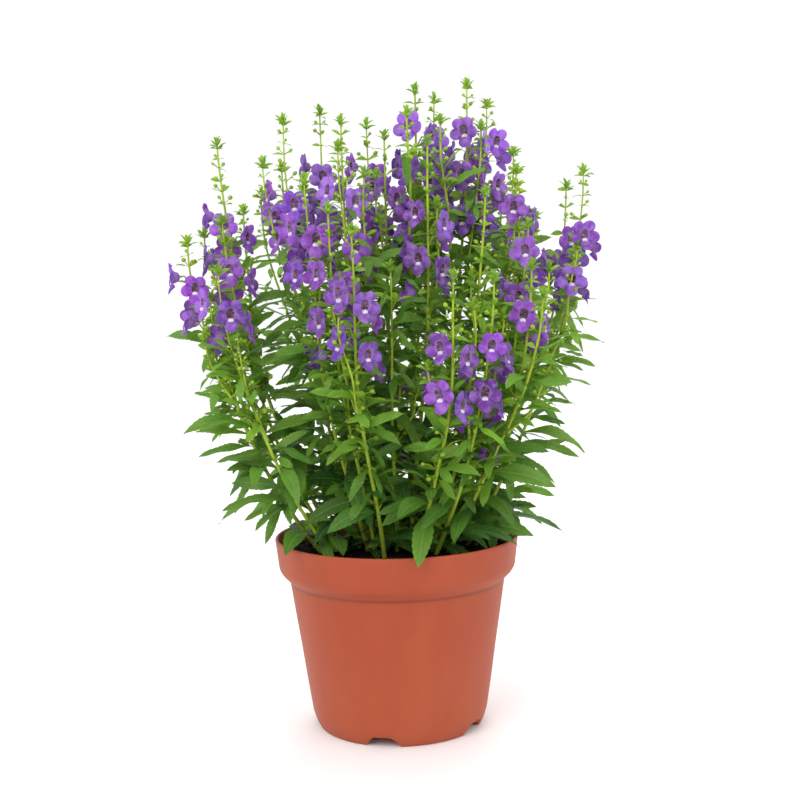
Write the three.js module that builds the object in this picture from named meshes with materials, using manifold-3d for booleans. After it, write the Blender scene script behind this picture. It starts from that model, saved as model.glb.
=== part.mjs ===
// A potted angelonia: a plastic nursery pot of soil with thirty leafy stems, most of them ending in a
// spike of purple two-lipped flowers. Millimetres, +Z up, origin at the centre of the pot's base, on the
// surface it stands on. The front of the plant faces -Y.
import * as THREE from 'three';
import { mergeVertices } from 'three/addons/utils/BufferGeometryUtils.js';
import Module from 'manifold-3d';

const wasm = await Module();
wasm.setup();
const { Manifold, Mesh } = wasm;

const DEGREE = Math.PI / 180;
const GAP = 0.3; // what touching pieces keep between them

// The pot: a 13 cm nursery pot with a deep collar and a notched foot ring.
const POT = {
  rimRadius: 65,
  height: 102,
  wall: 1.7,
  collarRadius: 63.4,
  collarFoot: 87,
  shoulderRadius: 57.6,
  shoulderHeight: 78.5,
  bodyFoot: 9,
  baseRadius: 47.2,
  footRadius: 43.6,
  footHeight: 4,
  facets: 28,
};
const NOTCH = { count: 5, firstAzimuth: -102, width: 20, crown: 8, height: 3.6 };
const DRAIN = { radius: 4, fromAxis: 33, sides: 8 };
const SOIL = { top: 92, crown: 2.5, depthOfStems: 13 };

// Stems: four-sided, tapering, leaning out first and then rising.
const STEM = { footRadius: 1.35, shootRadius: 1, tipRadius: 0.65, lean: 1.75, baseShare: 0.28, sway: 8 };
const TUFT = { length: 7.5, widestAt: 2.4, radius: 2.1 };
// Bracts stand in crossed pairs up the part of a spike that is still in bud.
const BRACT = { spacing: 7, out: 3.7, up: 5, belowTip: 4, aboveFlowers: 4 };
const LEAF = {
  lowest: 6,
  frontSpacing: 17.5,
  backSpacing: 28,
  lowLength: 44,
  highLength: 25,
  widthShare: 0.3,
  thickness: 0.9,
  keelAt: 0.45,
  lowPitch: -6,
  highPitch: 44,
  lowDroop: 52,
  highDroop: 40,
};
// Half a leaf's outline as shares of its length and of its half-width: it ends in a tooth near the tip.
const LEAF_EDGE = [
  [0.24, 0.66],
  [0.6, 1],
  [0.64, 0.72],
];
// In the middle of the plant, below a height, only leaves that point outward or to the front are left.
const SHADE = { height: 225, radius: 55, outward: 0.35, front: -0.45 };
// Flowers stand off the stem, one above another, in four ranks turned from the side that the spike faces.
const FLOWER = {
  reach: 11,
  rise: 5.8,
  ranks: [-42, 42, 118, -118],
  throat: 3.2,
  notch: 4.9,
  notchBack: 0.8,
};
// The five petal lobes: turn from straight up, reach, half-width and how far the edge comes forward.
const LOBES = [
  { turn: -35, reach: 8.1, half: 24, forward: -0.4 },
  { turn: 35, reach: 8.1, half: 24, forward: -0.4 },
  { turn: 107, reach: 8.5, half: 24, forward: 0.6 },
  { turn: 180, reach: 9.2, half: 26, forward: 1.6 },
  { turn: 253, reach: 8.5, half: 24, forward: 0.6 },
];
// Behind its petals a flower narrows to a calyx and a stalk, from a core round the stem.
const CALYX = { depth: 4.8, radius: 1.5, drop: 4.5, turns: [7, 138, 253] };
const CORE = { wall: 0.6, above: 1, below: 1.5 };

// Each stem: where its tip stands, how many flowers its spike has, and how far below the tip the topmost
// one is. Those with no flowers are young shoots or spikes still in bud.
const STEMS = [
  { tip: [-102.5, -25, 265], flowers: 5, bare: 24 },
  { tip: [-90, 5, 317], flowers: 5, bare: 44 },
  { tip: [-85, -22, 276], flowers: 5, bare: 26 },
  { tip: [-84, -50, 250], flowers: 4, bare: 22 },
  { tip: [-54, -5, 327], flowers: 6, bare: 44 },
  { tip: [-42, -34, 294], flowers: 5, bare: 30 },
  { tip: [-37, 30, 336], flowers: 6, bare: 36 },
  { tip: [-24, -8, 326], flowers: 6, bare: 42 },
  { tip: [-12, 42, 330], flowers: 6, bare: 30 },
  { tip: [-2, 10, 320], flowers: 5, bare: 34 },
  { tip: [-30, -45, 279], flowers: 8, bare: 38 },
  { tip: [-18, -68, 267], flowers: 7, bare: 36 },
  { tip: [15, 20, 345], flowers: 6, bare: 26 },
  { tip: [26, 48, 344], flowers: 5, bare: 30 },
  { tip: [20, -24, 313], flowers: 8, bare: 42 },
  { tip: [43, 24, 348], flowers: 7, bare: 32 },
  { tip: [55, 43, 340], flowers: 6, bare: 28 },
  { tip: [67, 2, 300], flowers: 3, bare: 26 },
  { tip: [98, 38, 294], flowers: 5, bare: 36 },
  { tip: [103, 6, 299], flowers: 7, bare: 40 },
  { tip: [48, -35, 286], flowers: 0, bare: 60 },
  { tip: [71, -18, 271], flowers: 5, bare: 20 },
  { tip: [30, -67, 245], flowers: 7, bare: 40 },
  { tip: [50, -58, 243], flowers: 7, bare: 38 },
  { tip: [70, -42, 249], flowers: 4, bare: 30 },
  { tip: [0, -35, 250], flowers: 0, bare: 12 },
  { tip: [-60, 46, 308], flowers: 4, bare: 28 },
  { tip: [-25, 60, 300], flowers: 4, bare: 28 },
  { tip: [18, 66, 308], flowers: 4, bare: 28 },
  { tip: [72, 62, 298], flowers: 4, bare: 28 },
];
// Side shoots in bud: the stem they leave, how far up it, and where their tip stands.
const SHOOTS = [
  { from: 1, at: 0.5, tip: [-81, 36, 284], bare: 30 },
  { from: 12, at: 0.55, tip: [10, -4, 330], bare: 40 },
  { from: 15, at: 0.55, tip: [28, 6, 327], bare: 40 },
  { from: 17, at: 0.5, tip: [68, 28, 312], bare: 40 },
  { from: 24, at: 0.45, tip: [73, -62, 235], bare: 34 },
];

// A repeatable draw from 0 to 1 for one stem, one use and one count.
const USE = { sway: 1, turn: 2, pitch: 3, droop: 4, length: 5, roll: 6, start: 7, flower: 8 };
function draw(stem, use, count) {
  let mixed = Math.imul(stem * 10000 + use * 100 + count + 1, 0x9e3779b1);
  mixed = Math.imul(mixed ^ (mixed >>> 15), 0x85ebca6b);
  mixed = Math.imul(mixed ^ (mixed >>> 13), 0xc2b2ae35);
  return ((mixed ^ (mixed >>> 16)) >>> 0) / 4294967296;
}
const spread = (stem, use, count, size) => (draw(stem, use, count) * 2 - 1) * size;

const mix = (a, b, share) => a + (b - a) * share;
const add = (a, b, times = 1) => a.map((v, i) => v + b[i] * times);
const scaled = (a, times) => a.map((v) => v * times);
const around = (turn, radius, z = 0) => [Math.cos(turn) * radius, Math.sin(turn) * radius, z];

// Solids

function solidOf(geometry) {
  const bare = new THREE.BufferGeometry().setAttribute('position', geometry.getAttribute('position'));
  const merged = mergeVertices(bare.setIndex(geometry.index), 1e-4);
  return new Manifold(
    new Mesh({
      numProp: 3,
      vertProperties: new Float32Array(merged.attributes.position.array),
      triVerts: new Uint32Array(merged.index.array),
    }),
  );
}

function solidFrom(points, faces) {
  const geometry = new THREE.BufferGeometry();
  geometry.setAttribute('position', new THREE.Float32BufferAttribute(points.flat(), 3));
  return solidOf(geometry.setIndex(faces.flat()));
}

function geometryOf(solid) {
  const mesh = solid.getMesh();
  const geometry = new THREE.BufferGeometry();
  geometry.setAttribute('position', new THREE.BufferAttribute(mesh.vertProperties, 3));
  geometry.setIndex(new THREE.BufferAttribute(mesh.triVerts, 1));
  const facets = geometry.toNonIndexed();
  facets.computeVertexNormals();
  return facets;
}

const cutOut = (solid, tools) => solid.subtract(Manifold.union(tools));

// The side faces between two rings of as many points, given by the index of each ring's first point.
function sides(low, high, count, fallsRight = () => true) {
  return Array.from({ length: count }, (_, k) => {
    const [a, b] = [low + k, low + ((k + 1) % count)];
    const [d, c] = [high + k, high + ((k + 1) % count)];
    return fallsRight(k) ? [[a, b, c], [a, c, d]] : [[a, b, d], [b, c, d]];
  }).flat();
}
function fan(tip, ring, count) {
  return Array.from({ length: count }, (_, k) => [tip, ring + k, ring + ((k + 1) % count)]);
}

const turned = (faces) => faces.map(([a, b, c]) => [a, c, b]);

// Pot and soil: outlines go up the outside and down the inside, or up the inside from the axis.

function lathe(outline) {
  const points = [...outline, outline[0]].map(([r, z]) => new THREE.Vector2(r, z));
  return solidOf(new THREE.LatheGeometry(points, POT.facets).rotateX(90 * DEGREE));
}

// The radius of the collar's outside at a height.
function collarAt(z) {
  return mix(POT.collarRadius, POT.rimRadius, (z - POT.collarFoot) / (POT.height - POT.collarFoot));
}

function potSolid() {
  const floorTop = POT.footHeight + POT.wall;
  const shell = lathe([
    [0, POT.footHeight],
    [POT.footRadius - 2.6, POT.footHeight],
    [POT.footRadius - 2.2, 0],
    [POT.footRadius, 0],
    [POT.baseRadius - 1, POT.footHeight + 1],
    [POT.baseRadius, POT.bodyFoot],
    [POT.shoulderRadius, POT.shoulderHeight],
    [POT.collarRadius - 1.1, POT.collarFoot - 2.4],
    [POT.collarRadius, POT.collarFoot],
    [POT.rimRadius, POT.height],
    [POT.rimRadius - POT.wall, POT.height],
    [POT.collarRadius - POT.wall, POT.collarFoot],
    [POT.shoulderRadius - POT.wall, POT.shoulderHeight],
    [POT.baseRadius - POT.wall, floorTop],
    [0, floorTop],
  ]);
  return cutOut(shell, [...notches(), ...drains()]);
}

function roundBase(place) {
  const step = 360 / NOTCH.count;
  return Array.from({ length: NOTCH.count }, (_, i) => place((NOTCH.firstAzimuth + step * i) * DEGREE));
}

// Cutters for the openings under the foot ring, wider at the bottom.
function notches() {
  const below = 1;
  const flare = ((NOTCH.width - NOTCH.crown) / 2 / NOTCH.height) * below;
  const outline = new THREE.Shape([
    new THREE.Vector2(-NOTCH.width / 2 - flare, -below),
    new THREE.Vector2(NOTCH.width / 2 + flare, -below),
    new THREE.Vector2(NOTCH.crown / 2, NOTCH.height),
    new THREE.Vector2(-NOTCH.crown / 2, NOTCH.height),
  ]);
  return roundBase((azimuth) => {
    const cutter = new THREE.ExtrudeGeometry(outline, { depth: 14, bevelEnabled: false });
    cutter.rotateX(90 * DEGREE).translate(0, -POT.footRadius + 8, 0);
    return solidOf(cutter.rotateZ(azimuth + 90 * DEGREE));
  });
}

function drains() {
  return roundBase((azimuth) => {
    const hole = new THREE.CylinderGeometry(DRAIN.radius, DRAIN.radius, 8, DRAIN.sides);
    hole.rotateX(90 * DEGREE).translate(...around(azimuth, DRAIN.fromAxis, POT.footHeight));
    return solidOf(hole);
  });
}

function soilSolid() {
  const bottom = POT.footHeight + POT.wall + GAP;
  return lathe([
    [0, bottom],
    [POT.baseRadius - POT.wall - GAP, bottom],
    [POT.shoulderRadius - POT.wall - GAP, POT.shoulderHeight],
    [POT.collarRadius - POT.wall - GAP, POT.collarFoot],
    [collarAt(SOIL.top) - POT.wall - GAP, SOIL.top],
    [46, SOIL.top + SOIL.crown],
    [0, SOIL.top + SOIL.crown],
  ]);
}

// Stems

// A stem's knees: the shares of its rise at which it bends, closer together where it bears bracts.
function knees(stem) {
  const rise = stem.end[2] - stem.foot[2];
  const share = (z) => (z - stem.foot[2]) / rise;
  const budStart = stem.tip[2] - stem.bare + BRACT.aboveFlowers;
  const budEnd = stem.end[2] - BRACT.belowTip;
  const pairs = stem.bare < 16 ? 0 : Math.max(1, Math.floor((budEnd - budStart) / BRACT.spacing));
  const plain = Math.max(2, Math.round((rise * share(budStart)) / 60));
  const low = Array.from({ length: plain + 1 }, (_, i) => ({
    share: (share(budStart) * i) / plain,
    pair: 0,
  }));
  const buds = Array.from({ length: pairs }, (_, i) => ({
    share: mix(share(budStart), share(budEnd), (i + 1) / pairs),
    pair: (i % 2) + 1,
  }));
  return [...low, ...buds, { share: 1, pair: 0 }];
}

// Every stem and shoot gets its foot, the side that its flowers face, and its knees.
function plannedStems() {
  const plan = (stem, foot, extra) => {
    const facing = Math.atan2(stem.tip[1] - 62, stem.tip[0] * 0.6);
    const end = add(stem.tip, [0, 0, -TUFT.length]);
    const whole = { ...stem, ...extra, foot, end, facing };
    whole.knees = knees(whole).map((knee) => ({ ...knee, centre: curvePoint(whole, knee.share) }));
    return whole;
  };
  const main = STEMS.map((stem, i) =>
    plan(stem, [stem.tip[0] * STEM.baseShare, stem.tip[1] * STEM.baseShare, SOIL.top - SOIL.depthOfStems], {
      index: i,
      group: i,
      radius: STEM.footRadius,
    }),
  );
  const side = SHOOTS.map((shoot, i) =>
    plan(shoot, stemPoint(main[shoot.from], shoot.at), {
      index: STEMS.length + i,
      group: shoot.from,
      radius: STEM.shootRadius,
      flowers: 0,
    }),
  );
  return [...main, ...side];
}

// The even curve that a stem's knees lie on.
function curvePoint(stem, share) {
  const lean = 1 - (1 - share) ** STEM.lean;
  const wave = Math.sin(2 * Math.PI * (share + draw(stem.index, USE.sway, 0)));
  const swing = STEM.sway * wave * share * (1 - share);
  const aside = around(2 * Math.PI * draw(stem.index, USE.sway, 1), swing);
  const [x, y, z] = [0, 1, 2].map((i) => mix(stem.foot[i], stem.end[i], i === 2 ? share : lean));
  return add([x, y, z], aside);
}

function stemPoint(stem, share) {
  const i = Math.max(0, stem.knees.findLastIndex((knee) => knee.share < share));
  const [low, high] = stem.knees.slice(i, i + 2);
  const part = (share - low.share) / (high.share - low.share);
  return low.centre.map((v, k) => mix(v, high.centre[k], part));
}
const atHeight = (stem, z) => stemPoint(stem, (z - stem.foot[2]) / (stem.end[2] - stem.foot[2]));

function stemRing(stem, centre, share, wider, pair = 0) {
  const radius = mix(stem.radius, STEM.tipRadius, share) + wider;
  return [0, 1, 2, 3].map((k) => {
    const bract = pair && k % 2 === pair - 1;
    const turn = stem.facing + k * 90 * DEGREE;
    return add(centre, around(turn, bract ? BRACT.out : radius, bract ? BRACT.up : 0));
  });
}

// A plain length of stem between two heights, wider all round.
function stemLength(stem, wider, from, to) {
  const rise = stem.end[2] - stem.foot[2];
  const [start, end] = [from, to].map((z) => (z - stem.foot[2]) / rise);
  const isInside = (share) => share > Math.max(start, 0) && share < end;
  const inside = stem.knees.map((knee) => knee.share).filter(isInside);
  return tube([start, ...inside, end].map((share) => stemRing(stem, stemPoint(stem, share), share, wider)));
}

function tube(rings) {
  const top = (rings.length - 1) * 4;
  const faces = rings.slice(1).flatMap((_, i) => sides(i * 4, i * 4 + 4, 4));
  faces.push([0, 2, 1], [0, 3, 2], [top, top + 1, top + 2], [top, top + 2, top + 3]);
  return solidFrom(rings.flat(), faces);
}

// The whole stem: its knees, the bracts pulled out of them, and the tuft at its tip.
function stemSolid(stem) {
  const tip = stem.knees.at(-1).centre;
  const rings = stem.knees.map((knee) => stemRing(stem, knee.centre, knee.share, 0, knee.pair));
  const corner = (k) => add(tip, around(stem.facing + k * 90 * DEGREE, TUFT.radius, TUFT.widestAt));
  rings.push([0, 1, 2, 3].map(corner));
  const points = [...rings.flat(), add(tip, [0, 0, TUFT.length])];
  const isBract = (i, k) => stem.knees[i]?.pair && k % 2 === stem.knees[i].pair - 1;
  const faces = rings.slice(1).flatMap((_, i) => sides(i * 4, i * 4 + 4, 4, (k) => !isBract(i, k)));
  const last = rings.length * 4 - 4;
  return solidFrom(points, [[0, 2, 1], [0, 3, 2], ...faces, ...fan(points.length - 1, last, 4)]);
}

// Leaves

// The midrib leaves the stem at a pitch above the level and bends down steadily.
function midrib(leaf, share) {
  const { pitch, droop } = leaf;
  const out = (Math.sin(pitch) - Math.sin(pitch - droop * share)) / droop;
  const up = (Math.cos(pitch - droop * share) - Math.cos(pitch)) / droop;
  return add(leaf.root, around(leaf.azimuth, out * leaf.length, up * leaf.length));
}

// The keel hangs under the flat face between the edge's first two corners, so it stays below that face.
function keelPoint(leaf) {
  const [[from], [to]] = LEAF_EDGE;
  const part = (LEAF.keelAt - from) / (to - from);
  const [start, end] = [midrib(leaf, from), midrib(leaf, to)];
  const above = start.map((v, i) => mix(v, end[i], part));
  const pitch = leaf.pitch - leaf.droop * LEAF.keelAt;
  return add(above, around(leaf.azimuth, Math.sin(pitch), -Math.cos(pitch)), LEAF.thickness);
}

function leafSolid(leaf) {
  const half = (leaf.length * LEAF.widthShare) / 2;
  const across = around(leaf.azimuth + 90 * DEGREE, half * Math.cos(leaf.roll), half * Math.sin(leaf.roll));
  const edge = (side) => LEAF_EDGE.map(([share, width]) => add(midrib(leaf, share), across, side * width));
  const count = LEAF_EDGE.length;
  const points = [leaf.root, ...edge(-1), midrib(leaf, 1), ...edge(1).reverse(), keelPoint(leaf)];
  const rim = points.length - 1;
  const top = [[0, 1, rim - 1], [count, count + 1, count + 2]];
  for (let i = 1; i < count; i += 1) {
    top.push([i, i + 1, rim - i - 1], [i, rim - i - 1, rim - i]);
  }
  return solidFrom(points, [...top, ...turned(fan(rim, 0, rim))]);
}

// Flowers

function flowerFrame(flower) {
  const level = around(flower.azimuth, 1);
  const side = around(flower.azimuth + 90 * DEGREE, 1);
  const out = add(scaled(level, Math.cos(flower.tilt)), [0, 0, Math.sin(flower.tilt)]);
  const rise = add(scaled(level, -Math.sin(flower.tilt)), [0, 0, Math.cos(flower.tilt)]);
  const rolled = (a, b, sign) => add(scaled(a, Math.cos(flower.roll)), b, sign * Math.sin(flower.roll));
  return { out, side: rolled(side, rise, -1), rise: rolled(rise, side, 1) };
}

// Five lobes round a sunken throat; behind them a calyx and a stalk that runs into the stem.
function flowerSolid(flower) {
  const frame = flowerFrame(flower);
  const at = (turn, reach, forward) => {
    const flat = add(flower.centre, frame.rise, Math.cos(turn * DEGREE) * reach);
    return add(add(flat, frame.side, Math.sin(turn * DEGREE) * reach), frame.out, forward);
  };
  const rim = LOBES.flatMap((lobe, i) => {
    const next = LOBES[(i + 1) % LOBES.length].turn + (i === LOBES.length - 1 ? 360 : 0);
    return [
      at(lobe.turn - lobe.half, lobe.reach * flower.size, lobe.forward),
      at(lobe.turn + lobe.half, lobe.reach * flower.size, lobe.forward),
      at((lobe.turn + next) / 2, FLOWER.notch * flower.size, -FLOWER.notchBack),
    ];
  });
  const calyx = CALYX.turns.map((turn) => at(turn, CALYX.radius, -CALYX.depth));
  const points = [...rim, ...calyx, at(0, 0, -FLOWER.throat), flower.root];
  const back = rim.length;
  const faces = turned(fan(back + 3, 0, back));
  calyx.forEach((_, i) => {
    const nextCorner = back + ((i + 1) % 3);
    const arc = [0, 1, 2, 3, 4, 5].map((k) => (i * 5 + k) % back);
    arc.slice(1).forEach((edge, k) => faces.push([arc[k], edge, back + i]));
    faces.push([arc[5], nextCorner, back + i], [back + i, nextCorner, back + 4]);
  });
  return solidFrom(points, faces);
}

// Growth: each leaf and flower takes the first of its places that is clear of all that already stands.

const standing = [];
function stand(solid, kind, group, mark = kind) {
  standing.push({ solid, kind, group, mark, ...solid.boundingBox() });
  return solid;
}

function isClear(solid, mayTouch) {
  const { min, max } = solid.boundingBox();
  const clearOn = (other, i) => other.min[i] > max[i] + GAP || other.max[i] < min[i] - GAP;
  const isApart = (other) => [0, 1, 2].some((i) => clearOn(other, i));
  const isFree = (other) => isApart(other) || solid.minGap(other.solid, GAP) >= GAP;
  return standing.every((other) => mayTouch(other) || isFree(other));
}

function firstClear(tries, make, mayTouch) {
  for (const attempt of tries) {
    const place = make(attempt);
    const solid = place.solid();
    if (isClear(solid, mayTouch)) return { ...place, solid };
    solid.delete();
  }
  return null;
}

function each(...lists) {
  return lists.reduce((rows, list) => rows.flatMap((row) => list.map((v) => [...row, v])), [[]]);
}
const LEAF_TRIES = each([1, 0.85, 0.7], [0, 14, -12, 28], [0, 14, -14, 28, -28, 44, -44]);
const FLOWER_TRIES = each([0, -1.2, 1.2], [0, -2, 2], [0, 9, -9, 18, -18, 30, -30]);

const topFlower = (stem) => stem.tip[2] - stem.bare;
const lowFlower = (stem) => topFlower(stem) - (stem.flowers - 1) * FLOWER.rise;

// The height at which a stem's leaves end, just under its flowers.
const leafTop = (stem) => (stem.flowers ? lowFlower(stem) - CALYX.drop - CORE.below - 3 : topFlower(stem));

function flowerAt(stem, count, [reach, shift, turn]) {
  const wobble = (k, size) => spread(stem.index, USE.flower, count * 4 + k, size);
  const node = topFlower(stem) - count * FLOWER.rise + shift;
  const azimuth = stem.facing + (FLOWER.ranks[count % 4] + turn + wobble(0, 7)) * DEGREE;
  const flower = {
    azimuth,
    tilt: (-2 + wobble(1, 9)) * DEGREE,
    roll: wobble(2, 10) * DEGREE,
    size: 1 + wobble(3, 0.07),
    centre: add(atHeight(stem, node), around(azimuth, FLOWER.reach + reach)),
    root: atHeight(stem, node - CALYX.drop),
  };
  return { ...flower, solid: () => flowerSolid(flower) };
}

// A spike's flowers are joined by a core round the stem, which keeps clear of the stem itself.
function growSpike(stem) {
  const [from, to] = [lowFlower(stem) - CALYX.drop - CORE.below, topFlower(stem) + CORE.above];
  const core = stand(stemLength(stem, GAP + CORE.wall, from, to), 'core', stem.group);
  const ownStem = (other) => other.group === stem.group && other.kind !== 'flower';
  const flowers = Array.from({ length: stem.flowers }, (_, count) => {
    const grown = firstClear(FLOWER_TRIES, (attempt) => flowerAt(stem, count, attempt), ownStem);
    return grown && stand(grown.solid, 'flower', stem.group);
  });
  const bore = stemLength(stem, GAP, from - 1, to + 1);
  return cutOut(Manifold.union([core, ...flowers.filter(Boolean)]), [bore]);
}

function leafAt(stem, z, pair, side, [length, pitch, turn]) {
  const wobble = (use, size) => spread(stem.index, use, pair * 2 + side, size);
  const up = (z - SOIL.top) / (leafTop(stem) - SOIL.top);
  const place = stem.facing + (45 + (pair % 2) * 90 + side * 180 + turn) * DEGREE;
  const leaf = {
    root: atHeight(stem, z),
    azimuth: place + wobble(USE.turn, 14) * DEGREE,
    pitch: (mix(LEAF.lowPitch, LEAF.highPitch, up) + pitch + wobble(USE.pitch, 18)) * DEGREE,
    droop: (mix(LEAF.lowDroop, LEAF.highDroop, up) + wobble(USE.droop, 18)) * DEGREE,
    roll: wobble(USE.roll, 36) * DEGREE,
    length: mix(LEAF.lowLength, LEAF.highLength, up) * length * (1 + wobble(USE.length, 0.12)),
  };
  return { ...leaf, solid: () => leafSolid(leaf) };
}

// Leaves that would point into the dark middle of the plant aren't there.
function isShaded(leaf) {
  const [x, y, z] = leaf.root;
  const outward = Math.cos(leaf.azimuth) * x + Math.sin(leaf.azimuth) * y;
  const isDeep = z < SHADE.height && Math.hypot(x, y) < SHADE.radius;
  const pointsBack = y > 0 || Math.sin(leaf.azimuth) > SHADE.front;
  return isDeep && pointsBack && outward < SHADE.outward * Math.hypot(x, y);
}

// Opposite leaves in crossed pairs, up to where the spike begins.
function growLeaves(stem) {
  const back = Math.min(Math.max((stem.tip[1] + 60) / 120, 0), 1);
  const spacing = mix(LEAF.frontSpacing, LEAF.backSpacing, back);
  const start = draw(stem.index, USE.start, 0) * spacing * 0.7;
  const low = Math.max(SOIL.top, stem.foot[2]) + LEAF.lowest + start;
  const grown = [];
  for (let pair = 0; low + pair * spacing < leafTop(stem); pair += 1) {
    const mark = `${stem.index} ${pair}`;
    const own = (other) => other.group === stem.group && (other.kind === 'stem' || other.mark === mark);
    for (const side of [0, 1]) {
      const z = low + pair * spacing;
      const tried = (attempt) => leafAt(stem, z, pair, side, attempt);
      const leaf = !isShaded(tried(LEAF_TRIES[0])) && firstClear(LEAF_TRIES, tried, own);
      if (leaf) grown.push(stand(leaf.solid, 'leaf', stem.group, mark));
    }
  }
  return grown;
}

// Assembly

const MATERIALS = {
  pot: new THREE.MeshStandardMaterial({ color: 0xbd6040, roughness: 0.55, metalness: 0 }),
  soil: new THREE.MeshStandardMaterial({ color: 0x1d1713, roughness: 1, metalness: 0 }),
  leaf: new THREE.MeshStandardMaterial({ color: 0x4f8a2e, roughness: 0.5, metalness: 0 }),
  petal: new THREE.MeshStandardMaterial({ color: 0x7a3fb5, roughness: 0.6, metalness: 0 }),
};

const plant = new THREE.Group();
plant.name = 'potted_angelonia';
function place(name, solid, material) {
  const mesh = new THREE.Mesh(geometryOf(solid), material);
  mesh.name = name;
  plant.add(mesh);
}
const numbered = (name, i) => `${name}_${String(i + 1).padStart(2, '0')}`;

const pot = stand(potSolid(), 'pot', 'pot');
const soil = stand(soilSolid(), 'soil', 'soil');
const stems = plannedStems();
const green = STEMS.map(() => []);
for (const stem of stems) green[stem.group].push(stand(stemSolid(stem), 'stem', stem.group));
const spikes = stems.map((stem) => stem.flowers > 0 && growSpike(stem));
for (const stem of stems) green[stem.group].push(...growLeaves(stem));

const holes = stems.slice(0, STEMS.length).map((stem) => {
  return stemLength(stem, GAP, stem.foot[2] - GAP, SOIL.top + SOIL.crown + 1);
});
place('pot', pot, MATERIALS.pot);
place('soil', cutOut(soil, holes), MATERIALS.soil);
green.forEach((pieces, i) => place(numbered('leafy_stem', i), Manifold.union(pieces), MATERIALS.leaf));
spikes.forEach((spike, i) => spike && place(numbered('flower_spike', i), spike, MATERIALS.petal));

export default plant;
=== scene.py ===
# A potted angelonia in bloom: the finer stems, leaves, buds, flowers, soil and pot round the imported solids.
# Lengths are in millimetres until a mesh is made.
import math
from itertools import product
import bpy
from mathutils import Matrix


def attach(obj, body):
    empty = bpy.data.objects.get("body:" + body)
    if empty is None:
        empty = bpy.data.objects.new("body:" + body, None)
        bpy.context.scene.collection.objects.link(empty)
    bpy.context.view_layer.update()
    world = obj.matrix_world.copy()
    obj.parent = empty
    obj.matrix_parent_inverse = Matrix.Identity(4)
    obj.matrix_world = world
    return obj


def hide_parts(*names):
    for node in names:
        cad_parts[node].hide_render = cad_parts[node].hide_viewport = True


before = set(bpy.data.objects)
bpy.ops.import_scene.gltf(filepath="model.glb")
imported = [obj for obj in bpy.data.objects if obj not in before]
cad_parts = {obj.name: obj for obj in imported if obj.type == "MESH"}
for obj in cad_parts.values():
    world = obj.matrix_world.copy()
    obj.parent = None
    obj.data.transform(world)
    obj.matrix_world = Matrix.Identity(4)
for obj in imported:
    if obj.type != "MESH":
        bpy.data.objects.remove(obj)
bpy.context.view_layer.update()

from types import SimpleNamespace

import bmesh
import bpy
import numpy as np
from mathutils import Matrix
from mathutils.kdtree import KDTree

chance = np.random.default_rng(17)
UP = np.array([0, 0, 1.0])

# The part's own layout: the same values and rules as its source.
POT = SimpleNamespace(height=102.0, foot_radius=43.6)
NOTCH = SimpleNamespace(count=5, first=-102.0, width=20.0, crown=8.0)
DRAIN = SimpleNamespace(radius=4.0, from_axis=33.0)
SOIL = SimpleNamespace(top=92.0, crown=2.5, depth_of_stems=13.0)
STEM = SimpleNamespace(foot=1.35, shoot=1.0, tip=0.65, lean=1.75, base_share=0.28, sway=8.0, knee=60.0)
# Stems face away from a line this far behind the axis, and a stem's pairs stand closer the nearer it is.
BEHIND = 62.0
SIDEWAYS = 0.6
HALF_DEPTH = 60.0
TUFT_LENGTH = 7.5
BRACT = SimpleNamespace(spacing=7.0, below_tip=4.0, above_flowers=4.0, least_bare=16.0)
# Length, pitch and droop are those of the lowest and of the highest leaves.
LEAF = SimpleNamespace(
    lowest=6.0, front_spacing=17.5, back_spacing=28.0,
    length=(44.0, 25.0), pitch=(-6.0, 44.0), droop=(52.0, 40.0),
)
FLOWER = SimpleNamespace(reach=11.0, rise=5.8, ranks=(-42, 42, 118, -118), notch=4.9, notch_back=0.8)
# The petal lobes: turn from straight up, reach, half-width and how far the edge comes forward.
LOBES = (
    (-35, 8.1, 24, -0.4), (35, 8.1, 24, -0.4), (107, 8.5, 24, 0.6), (180, 9.2, 26, 1.6), (253, 8.5, 24, 0.6),
)
CALYX = SimpleNamespace(depth=4.8, drop=4.5)
CORE_BELOW = 1.5
USE = SimpleNamespace(sway=1, turn=2, pitch=3, droop=4, length=5, roll=6, start=7, flower=8)
# How far leaves stray in turn, pitch, droop and roll, in degrees, and in length, as a share of it; and how
# far flowers stray in turn, tilt and roll, and in size.
LEAF_STRAY = ((USE.turn, 14), (USE.pitch, 18), (USE.droop, 18), (USE.roll, 36), (USE.length, 0.12))
FLOWER_STRAY = (7, 9, 10, 0.07)
LEAF_TRIES = tuple(product((1, 0.85, 0.7), (0, 14, -12, 28), (0, 14, -14, 28, -28, 44, -44)))
FLOWER_TRIES = tuple(product((0, -1.2, 1.2), (0, -2, 2), (0, 9, -9, 18, -18, 30, -30)))

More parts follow.
